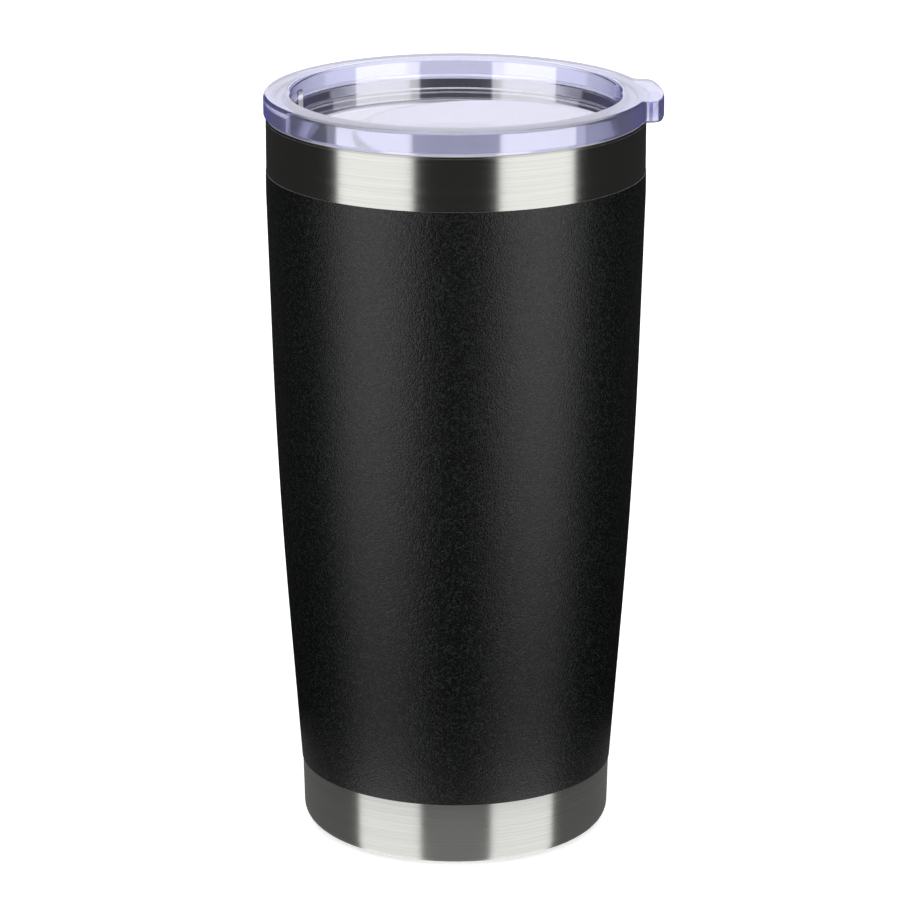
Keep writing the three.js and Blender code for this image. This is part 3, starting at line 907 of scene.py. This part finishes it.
def sip_pocket():
    """The set-back in the well's wall behind the sip opening, with faded ends."""
    sizes = lid()
    wall, depth = well_radius(), sizes.pocket_depth
    low_wall = wall - math.tan(sizes.well_draft) * sizes.well_depth
    reach, ramp, steps = sizes.pocket_half_angle, sizes.pocket_ramp, 60
    faded = low_wall - 0.5 * MM  # clear of the wall, so that it cuts nothing
    inner = low_wall - 2 * MM
    bottom = sump_height() + 0.05 * MM

    def outline(share):
        points = []
        for i in range(steps + 1):
            t = -reach + 2 * reach * i / steps
            fade = min(1, (reach - abs(t)) / ramp)
            r = faded + (wall + depth - faded) * eased(fade) * share
            points.append((-r * math.cos(t), -r * math.sin(t)))
        return points + [(-inner * math.cos(t), -inner * math.sin(t)) for t in (reach, -reach)]

    top = sizes.rim_top - sizes.pocket_top
    fade_height, count = 1.2 * MM, 8
    layers = [(bottom, outline(1))]
    layers += [(top - fade_height * (1 - i / count), outline(math.cos(math.pi / 2 * i / count)))
               for i in range(count + 1)]
    return to_object(stacked(layers), "pocket")


class TUMBLER_OT_lid(bpy.types.Operator):
    """Builds the clear lid: bowl, raised floor and tab, with its set-back and openings cut"""

    bl_idname = "tumbler.lid"
    bl_label = "Lid"

    def execute(self, context):
        sizes = lid()
        body = lid_bowl()
        combine(body, [platform(), pull_tab()], "UNION")
        under = sump_height() - sizes.lid_floor
        slot = to_object(stacked(eased_layers(sip_outline, under, sump_height(),
                                              sizes.edge_break)), "slot")
        centre = well_radius() - sizes.air_hole_edge
        dip = 0.3 * MM  # the dish is this deep at the hole
        hole = to_object(stacked(eased_layers(
            lambda grow: arc(centre, 0, sizes.air_hole_radius + grow, 0, 2 * math.pi, 32)[:-1],
            under, sump_height() + sizes.platform_rise - dip, sizes.edge_break)), "hole")
        combine(body, [sip_pocket(), slot, hole], "DIFFERENCE")
        body.name = "clear_lid"
        settle(body, "lid", "lid_body", "clear_lid", clear_copolyester())
        return {"FINISHED"}


class TUMBLER_OT_gasket(bpy.types.Operator):
    """Turns the silicone gasket with its sealing ribs"""

    bl_idname = "tumbler.gasket"
    bl_label = "Gasket"

    def execute(self, context):
        sizes = lid()
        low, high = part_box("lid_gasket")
        skirt = mouth_radius() - sizes.skirt_clearance
        inner = skirt - sizes.groove_depth + sizes.fit_gap
        body = skirt - sizes.fit_gap
        pitch = (high.z - low.z) / sizes.gasket_ribs
        half = sizes.rib_height / 2
        edge, notch = 0.1 * MM, 0.05 * MM
        corners = [(inner, low.z, edge), (body, low.z, edge)]
        for i in range(sizes.gasket_ribs):
            centre = low.z + pitch * (i + 0.5)
            corners += [(body, centre - half, notch), (high.x, centre - half / 3, edge)]
            corners += [(high.x, centre + half / 3, edge), (body, centre + half, notch)]
        corners += [(body, high.z, edge), (inner, high.z, edge)]
        turn_piece(corners, "silicone_gasket", "gasket", "lid_gasket", "silicone",
                   moulded_silicone(), steps=5)
        return {"FINISHED"}


# ---- the studio


def toward_camera():
    """Level direction from the tumbler to the camera."""
    heading = bpy.context.scene.tumbler_studio.heading
    return Vector((-math.sin(heading), -math.cos(heading), 0))


def turned_away(tree, place, lean=0.0):
    """Angle round the axis between the camera's direction and a place or direction.

    A direction that leans halfway to the camera first stands for the face that would
    throw it there, so a light drawn by it is upright in a round or a sloping wall.
    """
    leant = add(tree, "ShaderNodeVectorMath", {
        0: place, 1: toward_camera() * lean}, operation="ADD")
    level = add(tree, "ShaderNodeVectorMath", {0: leant, 1: LEVEL}, operation="MULTIPLY")
    level = add(tree, "ShaderNodeVectorMath", {0: level}, operation="NORMALIZE")
    facing = add(tree, "ShaderNodeVectorMath", {
        0: level, 1: toward_camera()}, operation="DOT_PRODUCT")
    return add(tree, "ShaderNodeMath", {0: facing}, operation="ARCCOSINE")


def window(tree, value, start, end, soft):
    """1 between two values and 0 outside them, with soft edges."""
    up = add(tree, "ShaderNodeMapRange", {
        "Value": value, "From Min": start - soft, "From Max": start + soft},
        interpolation_type="SMOOTHSTEP")
    down = add(tree, "ShaderNodeMapRange", {
        "Value": value, "From Min": end - soft, "From Max": end + soft,
        "To Min": 1.0, "To Max": 0.0}, interpolation_type="SMOOTHSTEP")
    return add(tree, "ShaderNodeMath", {0: up, 1: down}, operation="MULTIPLY")


def lit(tree, total, areas, radiance):
    """Adds an area's light, the product of its windows, to a total."""
    area = areas[0]
    for other in areas[1:]:
        area = add(tree, "ShaderNodeMath", {0: area, 1: other}, operation="MULTIPLY")
    return add(tree, "ShaderNodeMath", {0: area, 1: radiance, 2: total},
               operation="MULTIPLY_ADD")


def bounce_card():
    """A round card under the foot that only reflections see: what the floor throws back.

    Close to the foot it is dim, less so toward the camera. Further out it is a grey veil
    over the softboxes' lower ends, thickest near the foot.
    """
    light = bpy.context.scene.tumbler_studio
    card = bmesh.new()
    bmesh.ops.create_circle(card, cap_ends=True, segments=96, radius=light.veil_radius)
    card = to_object(card, "bounce_card")
    card.location.z = -FLOOR_DROP / 2
    material, tree, place = new_material("floor_bounce")
    away = add(tree, "ShaderNodeVectorMath", {0: place}, operation="LENGTH")
    rim, side, gap = 8 * MM, 0.1, 20 * MM
    close = window(tree, away, -MM, light.bounce_radius, rim)
    front = window(tree, turned_away(tree, place), -1, 1.2 * light.box_inner, side)
    all_round = lit(tree, 0.0, [close], light.bounce_light)
    glow = add(tree, "ShaderNodeEmission", {
        "Strength": lit(tree, all_round, [close, front], light.front_light)})
    veil = add(tree, "ShaderNodeMapRange", {
        "Value": away, "From Min": light.bounce_radius + gap, "From Max": light.veil_radius,
        "To Min": 1 - light.veil, "To Max": 1.0})
    near = add(tree, "ShaderNodeMath", {0: close, 1: light.bounce_open}, operation="MULTIPLY")
    open_share = add(tree, "ShaderNodeMath", {0: veil, 1: near}, operation="MAXIMUM")
    clear = add(tree, "ShaderNodeBsdfTransparent", {"Color": open_share})
    both = add(tree, "ShaderNodeAddShader", {0: glow, 1: clear})
    add(tree, "ShaderNodeOutputMaterial", {"Surface": both})
    card.data.materials.append(material)
    for seen in ("visible_camera", "visible_diffuse", "visible_transmission", "visible_shadow"):
        setattr(card, seen, False)


def studio_light():
    """Two tall softboxes either side of the camera, a ceiling and a bright backdrop."""
    light = bpy.context.scene.tumbler_studio
    world = bpy.data.worlds.new("studio")
    bpy.context.scene.world = world
    world.use_nodes = True
    tree = world.node_tree
    tree.nodes.clear()
    place = add(tree, "ShaderNodeTexCoord").outputs["Generated"]
    split = add(tree, "ShaderNodeSeparateXYZ", {"Vector": place})
    up = add(tree, "ShaderNodeMath", {0: split.outputs["Z"]}, operation="ARCSINE")
    around = turned_away(tree, place)
    soft, wide = math.radians(1.5), math.radians(6)  # edges of upright and level sides
    facing = turned_away(tree, place, lean=math.cos(light.pitch))
    boxes = window(tree, facing, light.box_inner, light.box_outer, soft / 2)
    tall = window(tree, up, light.box_low, light.box_high, wide)
    total = lit(tree, light.room_light, [boxes, tall], light.box_light)
    back = window(tree, around, light.back_low, ALL_ROUND, soft)
    low = window(tree, up, -wide, light.back_high, wide)
    total = lit(tree, total, [back, low], light.back_light)
    ceiling = window(tree, up, light.ceiling_low, ALL_ROUND, wide)
    total = lit(tree, total, [ceiling], light.ceiling_light)
    reflected = add(tree, "ShaderNodeBackground", {"Color": WHITE, "Strength": total})
    backdrop = add(tree, "ShaderNodeBackground", {"Color": WHITE, "Strength": light.back_seen})
    # What is seen plainly, or only through the lid, is the white backdrop.
    ray = add(tree, "ShaderNodeLightPath")
    bounced = add(tree, "ShaderNodeMath", {
        0: ray.outputs["Ray Depth"], 1: ray.outputs["Transmission Depth"]},
        operation="SUBTRACT")
    straight = add(tree, "ShaderNodeMath", {0: bounced, 1: 0.5}, operation="LESS_THAN")
    plain = add(tree, "ShaderNodeMath", {
        0: straight, 1: ray.outputs["Is Camera Ray"]}, operation="MAXIMUM")
    shown = add(tree, "ShaderNodeMixShader", {0: plain, 1: reflected, 2: backdrop})
    add(tree, "ShaderNodeOutputWorld", {"Surface": shown})


class TUMBLER_OT_studio(bpy.types.Operator):
    """Sets a pale floor, soft studio light and the camera"""

    bl_idname = "tumbler.studio"
    bl_label = "Studio"

    def execute(self, context):
        studio = context.scene.tumbler_studio
        sweep = bmesh.new()
        bmesh.ops.create_grid(sweep, x_segments=8, y_segments=8, size=FLOOR_REACH)
        floor = to_object(sweep, "floor")
        floor.location.z = -FLOOR_DROP
        floor.data.materials.append(matt_card())
        floor.visible_glossy = False
        studio_light()
        bounce_card()
        context.scene.view_settings.view_transform = "Standard"
        lens = bpy.data.cameras.new("camera")
        lens.lens = studio.lens
        lens.sensor_width = 36
        lens.clip_end = 10
        camera = bpy.data.objects.new("camera", lens)
        context.scene.collection.objects.link(camera)
        aim = toward_camera()
        left = Vector((aim.y, -aim.x, 0))
        camera.location = aim * studio.distance + left * studio.aside
        camera.location.z = studio.height
        camera.rotation_euler = (math.pi / 2 - studio.pitch, 0, -studio.heading)
        context.scene.camera = camera
        return {"FINISHED"}


# ---- the add-on

PIECES = (
    TUMBLER_OT_studio,
    TUMBLER_OT_outer_shell,
    TUMBLER_OT_powder_coat,
    TUMBLER_OT_liner,
    TUMBLER_OT_base_cover,
    TUMBLER_OT_hidden_parts,
    TUMBLER_OT_lid,
    TUMBLER_OT_gasket,
)


class TUMBLER_PT_panel(bpy.types.Panel):
    """Lists the tumbler's pieces"""

    bl_idname = "TUMBLER_PT_panel"
    bl_label = "Tumbler"
    bl_space_type = "VIEW_3D"
    bl_region_type = "UI"
    bl_category = "Tumbler"

    def draw(self, context):
        for piece in PIECES:
            self.layout.operator(piece.bl_idname)


GROUPS = {
    "tumbler_cup": CupSizes,
    "tumbler_lid": LidSizes,
    "tumbler_finish": Finishes,
    "tumbler_studio": Studio,
}


def register():
    for made in (*GROUPS.values(), *PIECES, TUMBLER_PT_panel):
        bpy.utils.register_class(made)
    for name, group in GROUPS.items():
        setattr(bpy.types.Scene, name, PointerProperty(type=group))


def unregister():
    for name in GROUPS:
        delattr(bpy.types.Scene, name)
    for made in (TUMBLER_PT_panel, *reversed(PIECES), *GROUPS.values()):
        bpy.utils.unregister_class(made)


def main():
    register()
    for piece in PIECES:
        group, name = piece.bl_idname.split(".")
        getattr(getattr(bpy.ops, group), name)()


if __name__ == "__main__":
    main()
